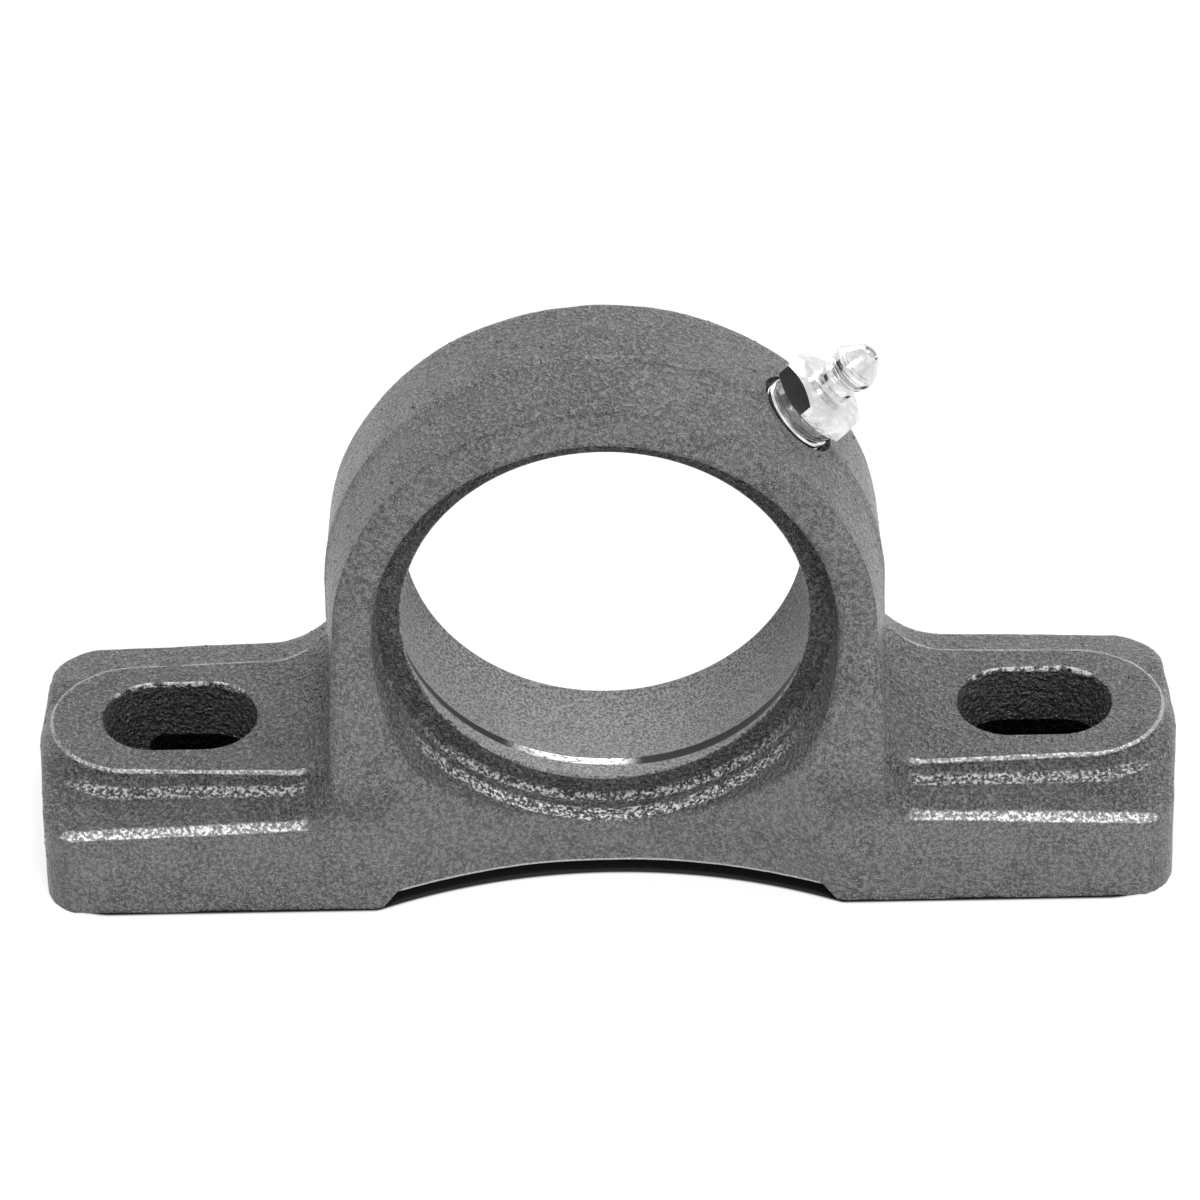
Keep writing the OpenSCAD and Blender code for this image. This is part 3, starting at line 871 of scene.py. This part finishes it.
def slot_cutter(s, side):
    """Bolt slot on the given side, widening in a rounded rim at the boss's upper face."""
    straight = (s.slot_len - s.slot_w) / 2
    steps = 48
    top = s.boss_h - s.inset
    levels = [(0, -MM)]
    for turn in (math.radians(15 * i) for i in range(6)):
        levels.append((s.slot_edge * (1 - math.cos(turn)), top + s.slot_edge * (math.sin(turn) - 1)))
    levels.append((2 * MM, s.boss_h + MM))
    rings = []
    for grow, up in levels:
        ring = []
        for i in range(2 * steps):
            turn = math.pi * (i + 0.5) / steps
            end = math.copysign(straight, math.cos(turn))
            radius = s.slot_w / 2 + grow
            ring.append((
                side * s.bolt_spacing / 2 + end + radius * math.cos(turn), radius * math.sin(turn), up
            ))
        rings.append(ring)
    return loft("slot_cutter", rings)


def fitting_place(casting, f):
    """Place of the fitting's axis, with its zero on the spot face."""
    return (
        Matrix.Translation((0, 0, casting.axis_h))
        @ Matrix.Rotation(math.pi / 2 - f.tilt, 4, "Y")
        @ Matrix.Translation((0, 0, f.spot_r))
        @ Matrix.Rotation(f.turn, 4, "Z")
    )


def hole_cutter(casting, f):
    """Spot face, tapped hole and grease passage."""
    inner = casting.seat_r - f.spot_r - MM
    profile = [
        (0, inner), (f.passage_r, inner), (f.passage_r, -f.tap_depth), (f.tap_r, -f.tap_depth),
        (f.tap_r, 0), (f.spot_d / 2, 0), (f.spot_d / 2, 4 * MM), (0, 4 * MM),
    ]
    return lathe("hole_cutter", profile, 96, fitting_place(casting, f))


def node_group(name, numbers, counts):
    """Geometry node group with these inputs and a material. Gives its sheet and its inputs."""
    tree = bpy.data.node_groups.new(name, "GeometryNodeTree")
    tree.interface.new_socket("Mesh", in_out="OUTPUT", socket_type="NodeSocketGeometry")
    inputs = [("Base", "Geometry"), *((label, "Float") for label in numbers)]
    inputs += [*((label, "Int") for label in counts), ("Material", "Material")]
    for label, kind in inputs:
        tree.interface.new_socket(label, in_out="INPUT", socket_type=f"NodeSocket{kind}")
    sheet = Sheet(tree)
    entry = sheet.node("NodeGroupInput").socket.node
    return sheet, {socket.name: Value(sheet, socket) for socket in entry.outputs}


def grown(sheet, result, given, values, base):
    """Closes a group with its result and gives the mesh that it makes from the base mesh."""
    result = sheet.node("GeometryNodeRealizeInstances", sockets={"Geometry": result})
    painted = {"Geometry": result, "Material": given["Material"]}
    result = sheet.node("GeometryNodeSetMaterial", sockets=painted)
    sheet.node("NodeGroupOutput", sockets={"Mesh": result})
    thing = linked("scratch", base)
    modifier = thing.modifiers.new(sheet.tree.name, "NODES")
    modifier.node_group = sheet.tree
    for item in sheet.tree.interface.items_tree:
        if item.name in values:
            modifier[item.identifier] = values[item.name]
    return baked(thing)


def helix(name, radius, end_radius, low, high, turns, wire_r, sides, per_turn):
    """Closed wire along a helix about the local Z axis, made by Geometry Nodes."""
    sizes = {
        "Start radius": radius, "End radius": end_radius, "Low end": low, "Rise": high - low,
        "Turns": turns, "Wire radius": wire_r,
    }
    counts = {"Sides": sides, "Points to a turn": per_turn}
    sheet, given = node_group(name, sizes, counts)
    path = sheet.node("GeometryNodeCurveSpiral", sockets={
        "Resolution": given["Points to a turn"], "Rotations": given["Turns"],
        "Start Radius": given["Start radius"], "End Radius": given["End radius"],
        "Height": given["Rise"],
    })
    path = sheet.node("GeometryNodeSetCurveNormal", {"mode": "Z_UP"}, {"Curve": path})
    section = sheet.node("GeometryNodeCurvePrimitiveCircle", sockets={
        "Resolution": given["Sides"], "Radius": given["Wire radius"],
    })
    wire = sheet.node("GeometryNodeCurveToMesh", sockets={
        "Curve": path, "Profile Curve": section, "Fill Caps": True,
    })
    lift = sheet.node("ShaderNodeCombineXYZ", sockets={"Z": given["Low end"]})
    wire = sheet.node("GeometryNodeTransform", sockets={"Geometry": wire, "Translation": lift})
    return grown(sheet, wire, given, {**sizes, **counts}, bpy.data.meshes.new(name))


def scatter(name, surface, casting, finish):
    """Flattened grains scattered over the cast surface, clear of the seat and the underside."""
    numbers = {
        "Density": finish.speck_density, "Largest radius": finish.speck_r, "Height": finish.speck_flat,
        "Axis height": casting.axis_h, "Clear radius": casting.recess_r + MM, "Lowest": 0.6 * MM,
    }
    counts = {"Seed": 11}
    sheet, given = node_group(name, numbers, counts)
    x, _, z = sheet.parts(sheet.node("GeometryNodeInputPosition"))
    from_axis = np.hypot(x, z - given["Axis height"])
    allowed = from_axis.math("GREATER_THAN", from_axis, given["Clear radius"])
    allowed = allowed * z.math("GREATER_THAN", z, given["Lowest"])
    sown = sheet.node("GeometryNodeDistributePointsOnFaces", {"distribute_method": "RANDOM"}, {
        "Mesh": given["Base"], "Selection": allowed, "Density": given["Density"], "Seed": given["Seed"],
    }, "Points")
    grain = sheet.node("GeometryNodeMeshIcoSphere", sockets={"Radius": 1.0, "Subdivisions": 1}, output="Mesh")
    chance = sheet.node("FunctionNodeRandomValue", {"data_type": "FLOAT"}, {
        "Min_001": 0.35, "Max_001": 1.0, "Seed": given["Seed"],
    }, "Value_001")
    radius = given["Largest radius"] * chance * chance
    sides = {"X": radius, "Y": radius, "Z": radius * given["Height"]}
    size = sheet.node("ShaderNodeCombineXYZ", sockets=sides)
    grains = sheet.node("GeometryNodeInstanceOnPoints", sockets={
        "Points": sown, "Instance": grain, "Scale": size,
        "Rotation": Value(sheet, sown.socket.node.outputs["Rotation"]),
    })
    return grown(sheet, grains, given, {**numbers, **counts}, surface.copy())


def hexagon(f):
    """Hexagon with turned chamfers above and below."""
    corner_r = f.hex_af / math.sqrt(3)
    prism = lathe("prism", [
        (0, f.collar_top), (corner_r, f.collar_top), (corner_r, f.hex_top), (0, f.hex_top),
    ], 6)
    over_r = corner_r + 0.1 * MM
    top_r = f.hex_af / 2 - f.hex_chamfer_w
    turned = lathe("turned", [
        (0, f.collar_top), (f.collar_r - 0.1 * MM, f.collar_top), (over_r, f.hex_base),
        (over_r, f.hex_top - f.hex_chamfer_h), (top_r, f.hex_top), (0, f.hex_top),
    ], 96)
    return combined(prism, turned, "INTERSECT")


def fitting_profile(f):
    """Half section of the fitting's turned outside, from the shank up to the tip."""
    up = f.hex_top
    neck = f.neck_r
    groove_r = f.root_r - 0.1 * MM
    steps = [
        (0, -f.shank_len), (f.root_r - 0.5 * MM, -f.shank_len), (f.root_r, 0.5 * MM - f.shank_len),
        (f.root_r, f.collar_low), (f.collar_r, f.collar_low + 0.1 * MM),
        (f.collar_r, f.collar_low + 0.42 * MM), (groove_r, f.collar_low + 0.46 * MM),
        (groove_r, f.collar_low + 0.58 * MM), (f.collar_r, f.collar_low + 0.62 * MM),
        (f.collar_r, f.collar_top + 0.1 * MM),
        (neck + 0.25 * MM, f.collar_top + 0.2 * MM), (neck + 0.25 * MM, up),
    ]
    outline = [
        (0.22, 0.02), (0.06, 0.1), (0.0, 0.25), (0.0, 0.85), (-0.1, 0.9), (0.0, 0.95), (0.0, 1.55),
        (-0.12, 1.8), (-0.38, 2.0), (-0.45, 2.15), (-0.4, 2.3), (-0.1, 2.45), (0.12, 2.55), (0.2, 2.68),
        (0.2, 2.78), (0.1, 2.9), (-0.1, 2.98), (-0.16, 3.06), (-0.05, 3.16), (0.3, 3.35), (0.46, 3.5),
        (0.5, 3.65), (0.5, 3.8), (0.38, 3.86), (0.5, 3.92), (0.5, 4.1), (0.42, 4.35), (0.26, 4.45),
        (0.34, 4.55), (0.24, 4.75), (0.1, 4.82), (0.16, 4.92), (-0.55, 6.1), (-0.75, 6.4), (-0.98, 6.65),
        (-1.12, 6.8), (-1.22, 6.85),
    ]
    steps += [(neck + r * MM, up + u * MM) for r, u in outline]
    return steps + [(0, f.head_top)]


def valve_bore(f):
    """Bore of the fitting: inlet, spring chamber, ball seat and orifice."""
    rise = f.bore_r - f.orifice_r
    return lathe("valve_bore", [
        (0, -f.shank_len - MM), (f.stake_r, -f.shank_len - MM), (f.stake_r, f.stake_top),
        (f.bore_r, f.stake_top), (f.bore_r, f.valve_seat - rise), (f.orifice_r, f.valve_seat),
        (f.orifice_r + 0.1 * MM, f.head_top + MM), (0, f.head_top + MM),
    ], 64)


# Operators

class CastHousing(bpy.types.Operator):
    """Casts the housing, then turns its seat and drills it for the fitting"""

    bl_idname = "pillow_block.cast_housing"
    bl_label = "Cast housing"

    def execute(self, context):
        s = context.scene.pillow_casting
        f = context.scene.pillow_fitting
        casting = Casting(s)
        spare = Vector((2 * MM, 2 * MM, 2 * MM))
        corners, quads = contour(casting, HOUSING_LOW - spare, HOUSING_HIGH + spare, s.cell)
        mesh = quad_mesh("housing_casting", corners, quads)
        cutters = (relief_cutter(s), slot_cutter(s, -1), slot_cutter(s, 1), bore_cutter(s), hole_cutter(s, f))
        for cutter in cutters:
            mesh = combined(mesh, cutter, "DIFFERENCE")
        mesh.name = "housing_casting"
        shade(mesh, 60)
        material = painted_iron(casting, context.scene.pillow_finish)
        new_piece("housing_casting", mesh, material, BLOCK, "painted_cast_iron", "housing")
        return {"FINISHED"}


class CastSpecks(bpy.types.Operator):
    """Scatters the small grains that the sand mould leaves on the casting"""

    bl_idname = "pillow_block.cast_specks"
    bl_label = "Cast specks"

    def execute(self, context):
        scene = context.scene
        casting = bpy.data.objects["housing_casting"]
        mesh = scatter("cast_specks", casting.data, scene.pillow_casting, scene.pillow_finish)
        new_piece("cast_specks", shade(mesh, 80), casting.data.materials[0], BLOCK, "painted_cast_iron")
        return {"FINISHED"}


class GreaseFitting(bpy.types.Operator):
    """Turns the grease fitting's body and cuts its hexagon and thread"""

    bl_idname = "pillow_block.grease_fitting"
    bl_label = "Grease fitting"

    def execute(self, context):
        s = context.scene.pillow_casting
        f = context.scene.pillow_fitting
        crest = f.crest_r - f.ridge_r
        ends = f.thread_end - f.thread_turns * f.pitch, f.thread_end
        thread = helix("taper_thread", crest - f.taper, crest, *ends, f.thread_turns, f.ridge_r, 8, 72)
        body = combined(lathe("turned_body", fitting_profile(f), 96), hexagon(f), "UNION")
        body = combined(body, thread, "UNION")
        body = combined(body, valve_bore(f), "DIFFERENCE")
        body.transform(fitting_place(s, f))
        body.name = "fitting_body"
        shade(body, 28)
        material = bright_zinc(context.scene.pillow_finish)
        new_piece("fitting_body", body, material, BLOCK, "zinc_plated_steel", "grease_fitting_body")
        return {"FINISHED"}


class CheckSpring(bpy.types.Operator):
    """Winds the spring behind the check ball"""

    bl_idname = "pillow_block.check_spring"
    bl_label = "Check spring"

    def execute(self, context):
        s = context.scene.pillow_casting
        f = context.scene.pillow_fitting
        ends = f.spring_low, f.spring_high
        coil = helix("spring_coil", f.spring_r, f.spring_r, *ends, f.spring_turns, f.wire_r, 10, 32)
        place = fitting_place(s, f)
        coil.transform(place)
        shade(coil, 60)
        material = drawn_wire(context.scene.pillow_finish)
        piece = new_piece("spring_coil", coil, material, BLOCK, "spring_steel", "check_spring")
        axis = (place.to_3x3() @ Vector((0, 0, 1)))[:]
        anchor = (place @ Vector((0, 0, f.spring_low - f.wire_r)))[:]
        full = f.spring_high - f.spring_low + 2 * f.wire_r
        travel = JOINT["range_m"][1]
        (full - travel) / full
        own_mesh(piece)
        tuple(axis)
        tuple(anchor)
        return {"FINISHED"}


class CheckBall(bpy.types.Operator):
    """Polishes the check ball, whose shape the frame gives"""

    bl_idname = "pillow_block.check_ball"
    bl_label = "Check ball"

    def execute(self, context):
        ball = frame["nodes"]["check_ball"]
        ball.data.materials.clear()
        ball.data.materials.append(polished_steel(context.scene.pillow_finish))
        return {"FINISHED"}


class Studio(bpy.types.Operator):
    """Sets up the camera, the white floor and soft studio light"""

    bl_idname = "pillow_block.studio"
    bl_label = "Studio"

    def execute(self, context):
        stage = context.scene.pillow_stage
        self.camera(context, stage)
        self.floor(stage)
        self.dark_card(stage)
        self.world(context, stage)
        self.lamp("key_light", stage.key_power, stage.key_at, 100 * MM, 80 * MM)
        self.lamp("rear_softbox", stage.rear_power, stage.rear_at, 1100 * MM, 500 * MM)
        context.scene.view_settings.view_transform = "Standard"
        return {"FINISHED"}

    def camera(self, context, stage):
        """Camera from its place, its turn, its tilt and its roll."""
        data = bpy.data.cameras.new("camera")
        data.lens = stage.camera_lens
        data.sensor_width = 36
        data.clip_start = 0.01
        data.clip_end = 20
        eye = linked("camera", data)
        yaw, pitch, roll = stage.camera_yaw, stage.camera_pitch, stage.camera_roll
        ahead = Vector((
            math.sin(yaw) * math.cos(pitch), math.cos(yaw) * math.cos(pitch), -math.sin(pitch)
        ))
        level = Vector((math.cos(yaw), -math.sin(yaw), 0))
        upright = level.cross(ahead)
        right = level * math.cos(roll) + upright * math.sin(roll)
        up = upright * math.cos(roll) - level * math.sin(roll)
        turn = Matrix((right, up, -ahead)).transposed().to_4x4()
        eye.matrix_world = Matrix.Translation(stage.camera_at) @ turn
        context.scene.camera = eye

    def floor(self, stage):
        """Matt floor that looks white, with a painted shadow: dark and without its white inside the base's
        outline under the object.
        """
        reach, below = stage.floor_reach, -0.05 * MM
        corners = [(x * reach, y * reach, below) for x, y in ((-1, -1), (1, -1), (1, 1), (-1, 1))]
        m = Finish("white_floor")
        under = self.footprint(m)
        # painted shadow: the floor is near-black and loses its white inside the base's outline
        tone = m.mix(under, (0.9, 0.9, 0.9), (0.03, 0.03, 0.03))
        matt = m.node("ShaderNodeBsdfDiffuse", sockets={"Color": tone})
        plain = m.node("ShaderNodeEmission", sockets={"Color": (1, 1, 1, 1), "Strength": 1.0})
        seen = self.seen_rays(m) * stage.white_share * (1 - under)
        surface = m.node("ShaderNodeMixShader", sockets={0: seen, 1: matt, 2: plain})
        floor = self.plane("floor", corners, m.ended(surface))

    def dark_card(self, stage):
        """Black card at the left, which bright metal shows as a dark face."""
        half = Vector((0, stage.card_depth / 2, stage.card_height / 2))
        sides = ((-1, -1), (1, -1), (1, 1), (-1, 1))
        corners = [stage.card_at + half * Vector((0, y, z)) for y, z in sides]
        black = Finish("dark_card").done({"Base Color": (0.01, 0.01, 0.01, 1), "Roughness": 1.0})
        card = self.plane("dark_card", corners, black)

    @staticmethod
    def plane(name, corners, material):
        """A new object of one face."""
        mesh = bpy.data.meshes.new(name)
        mesh.from_pydata(corners, [], [(0, 1, 2, 3)])
        mesh.materials.append(material)
        return linked(name, mesh)

    @staticmethod
    def footprint(m):
        """1 on the floor under the base, inside its outline, where the floor's shadow is painted."""
        s = bpy.context.scene.pillow_casting
        corner_r = s.rear_corner_r
        end_draft = 2 * MM
        waist = Casting(s).waist(m.x, m.y)
        past_x = np.maximum(abs(m.x) - (s.base_len / 2 - corner_r - end_draft), 0)
        past_y = np.maximum(abs(m.y) - (s.base_depth / 2 - corner_r), 0)
        corner = np.hypot(past_x, past_y).fall(corner_r - 0.2 * MM, corner_r + 0.4 * MM)
        return waist.fall(-0.8 * MM, -0.2 * MM) * corner

    @staticmethod
    def seen_rays(sheet):
        """1 for rays from the camera, mirrors and glass."""
        kinds = ("Camera", "Glossy", "Transmission")
        rays = [sheet.node("ShaderNodeLightPath", output=f"Is {kind} Ray") for kind in kinds]
        return np.maximum(np.maximum(rays[0], rays[1]), rays[2])

    def world(self, context, stage):
        """Surroundings that are plain white to look at and light the object from five sides."""
        world = bpy.data.worlds.new("studio")
        context.scene.world = world
        world.use_nodes = True
        sheet = Sheet(world.node_tree)
        sheet.tree.nodes.clear()
        x, y, z = sheet.parts(sheet.node("ShaderNodeTexCoord", output="Generated"))
        high = z.rise(0.5, 0.75)
        right = x.rise(0.4, 0.8)
        left = x.fall(-0.8, -0.4)
        middle = 1 - right - left
        rear = y.rise(-0.3, 0.3)
        low = right * stage.right_level + left * stage.left_level
        low = low + middle * (rear * stage.rear_level + (1 - rear) * stage.front_level)
        level = high * stage.top_level + (1 - high) * low
        seen = self.seen_rays(sheet)
        level = seen + (1 - seen) * level
        light = sheet.node("ShaderNodeBackground", sockets={"Color": (1, 1, 1, 1), "Strength": level})
        sheet.node("ShaderNodeOutputWorld", sockets={"Surface": light})

    def lamp(self, name, power, at, width, height):
        """Rectangular lamp that points at the middle of the casting."""
        data = bpy.data.lights.new(name, "AREA")
        data.energy = power
        data.shape = "RECTANGLE"
        data.size = width
        data.size_y = height
        lamp = linked(name, data)
        aim = Vector((0, 0, 30 * MM)) - at
        lamp.matrix_world = Matrix.Translation(at) @ aim.to_track_quat("-Z", "Y").to_matrix().to_4x4()


class PillowBlockPanel(bpy.types.Panel):
    """Lists the operators that build the pillow block."""

    bl_idname = "VIEW3D_PT_pillow_block"
    bl_label = "Pillow Block"
    bl_space_type = "VIEW_3D"
    bl_region_type = "UI"
    bl_category = "Pillow Block"

    def draw(self, context):
        for operator in OPERATORS:
            self.layout.operator(operator.bl_idname)


SETTINGS = {
    "pillow_casting": CastingSettings,
    "pillow_fitting": FittingSettings,
    "pillow_finish": FinishSettings,
    "pillow_stage": StageSettings,
}
OPERATORS = (Studio, CastHousing, CastSpecks, GreaseFitting, CheckSpring, CheckBall)


def register():
    for group in (*SETTINGS.values(), *OPERATORS, PillowBlockPanel):
        bpy.utils.register_class(group)
    for name, group in SETTINGS.items():
        setattr(bpy.types.Scene, name, bpy.props.PointerProperty(type=group))


def unregister():
    for name in SETTINGS:
        delattr(bpy.types.Scene, name)
    for group in (PillowBlockPanel, *OPERATORS[::-1], *SETTINGS.values()):
        bpy.utils.unregister_class(group)


def main():
    """Builds everything."""
    register()
    for operator in OPERATORS:
        area, name = operator.bl_idname.split(".")
        getattr(getattr(bpy.ops, area), name)()


if __name__ == "__main__":
    main()
